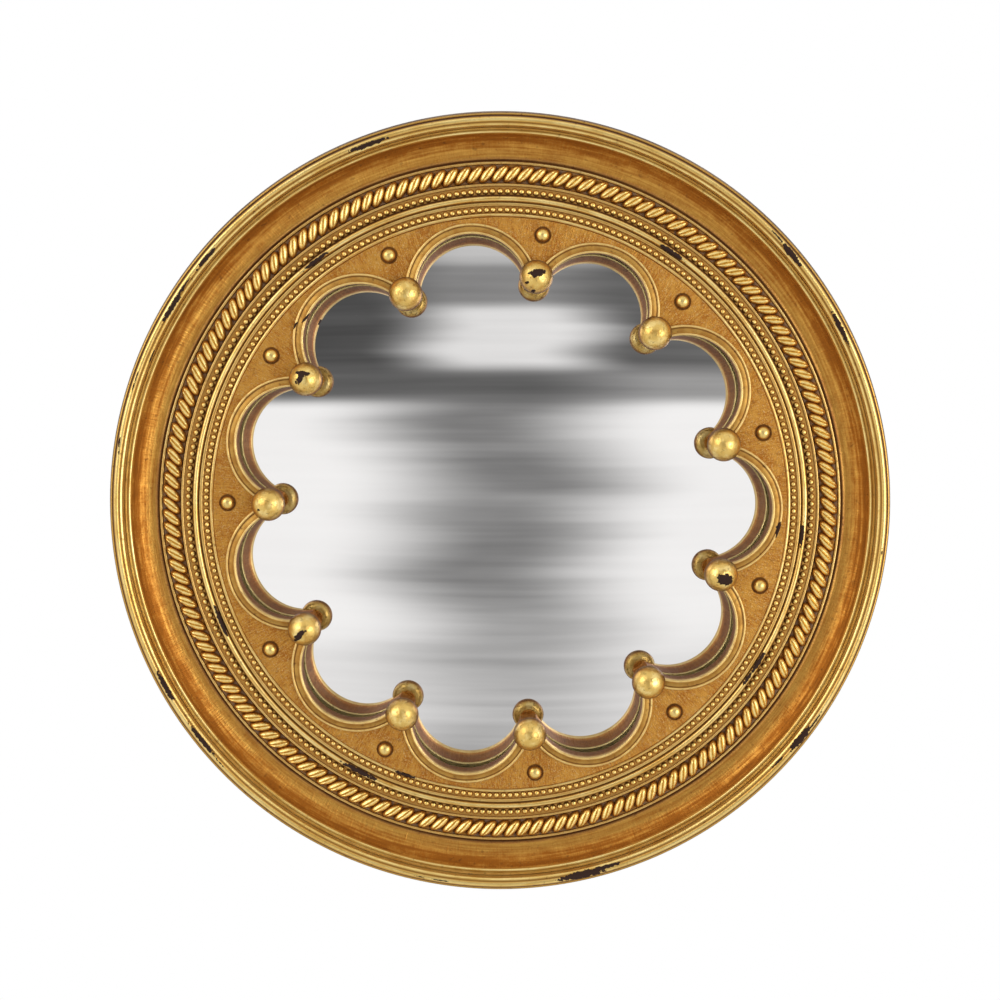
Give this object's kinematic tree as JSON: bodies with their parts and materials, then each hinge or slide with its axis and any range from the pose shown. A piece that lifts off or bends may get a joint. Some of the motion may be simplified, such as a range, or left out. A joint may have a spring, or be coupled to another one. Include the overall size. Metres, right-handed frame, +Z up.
{
  "type": "convex wall mirror",
  "caption": "Round convex wall mirror in a gilded moulded frame with a rope twist, pearl strings, a scalloped arcade with balls, and hangers and turn buttons at the back.",
  "frame": {"origin": "centre of the frame's circle on the plane of the wall, where the faces of the rubber pads rest", "axes": "+Y into the wall along the frame's axis, so the mirror faces -Y; +Z up; +X to the right of someone who looks at it"},
  "size_m": [0.5, 0.0547, 0.5],
  "materials": {
    "gilt_frame": "antiqued gold leaf, worn through to dark brown in places",
    "gilt_carving": "antiqued gold with grey-brown patina in the recesses",
    "gilt_plate": "speckled orange-brown gilding",
    "gilt_moulding": "antiqued gold leaf",
    "gilt_ball": "burnished gold leaf",
    "beech": "bare turned wood",
    "silvered_glass": "silvered behind, clear and convex in front",
    "black_felt": "dark felt",
    "grey_board": "plain grey board",
    "fibreboard": "plain fibreboard",
    "plated_steel": "bright zinc plating",
    "black_rubber": "matte"
  },
  "bodies": {
    "frame": {"frame_ring": "gilt_frame", "rope_twist": "gilt_carving", "outer_pearl_string": "gilt_carving", "inner_pearl_string": "gilt_carving", "arcade_plate": "gilt_plate", "arch_mouldings": "gilt_moulding", "spandrel_studs": "gilt_ball", "cusp_balls": "gilt_ball", "ball_dowels": "beech", "mirror_glass": "silvered_glass", "glass_spacer": "black_felt", "packing_ring": "grey_board", "backboard": "fibreboard", "turn_button_screws": "plated_steel", "hanger_strap_left": "plated_steel", "hanger_strap_right": "plated_steel", "hanger_screws": "plated_steel", "wall_pads": "black_rubber"},
    "d_ring_left": {"d_ring_left": "plated_steel"},
    "d_ring_right": {"d_ring_right": "plated_steel"},
    "turn_button_1": {"turn_button_1": "plated_steel"},
    "turn_button_2": {"turn_button_2": "plated_steel"},
    "turn_button_3": {"turn_button_3": "plated_steel"},
    "turn_button_4": {"turn_button_4": "plated_steel"},
    "turn_button_5": {"turn_button_5": "plated_steel"},
    "turn_button_6": {"turn_button_6": "plated_steel"}
  },
  "joints": [
    {"name": "d_ring_left_swing", "type": "hinge", "parent": "frame", "child": "d_ring_left", "pos_m": [-0.112, -0.0028, 0.194], "axis": [-1, 0, 0], "range_deg": [0, 176]},
    {"name": "d_ring_right_swing", "type": "hinge", "parent": "frame", "child": "d_ring_right", "pos_m": [0.112, -0.0028, 0.194], "axis": [-1, 0, 0], "range_deg": [0, 176]},
    {"name": "turn_button_1_turn", "type": "hinge", "parent": "frame", "child": "turn_button_1", "pos_m": [0, -0.00415, 0.2055], "axis": [0, 1, 0], "continuous": true},
    {"name": "turn_button_2_turn", "type": "hinge", "parent": "frame", "child": "turn_button_2", "pos_m": [0.17797, -0.00415, 0.10275], "axis": [0, 1, 0], "continuous": true},
    {"name": "turn_button_3_turn", "type": "hinge", "parent": "frame", "child": "turn_button_3", "pos_m": [0.17797, -0.00415, -0.10275], "axis": [0, 1, 0], "continuous": true},
    {"name": "turn_button_4_turn", "type": "hinge", "parent": "frame", "child": "turn_button_4", "pos_m": [0, -0.00415, -0.2055], "axis": [0, 1, 0], "continuous": true},
    {"name": "turn_button_5_turn", "type": "hinge", "parent": "frame", "child": "turn_button_5", "pos_m": [-0.17797, -0.00415, -0.10275], "axis": [0, 1, 0], "continuous": true},
    {"name": "turn_button_6_turn", "type": "hinge", "parent": "frame", "child": "turn_button_6", "pos_m": [-0.17797, -0.00415, 0.10275], "axis": [0, 1, 0], "continuous": true}
  ]
}
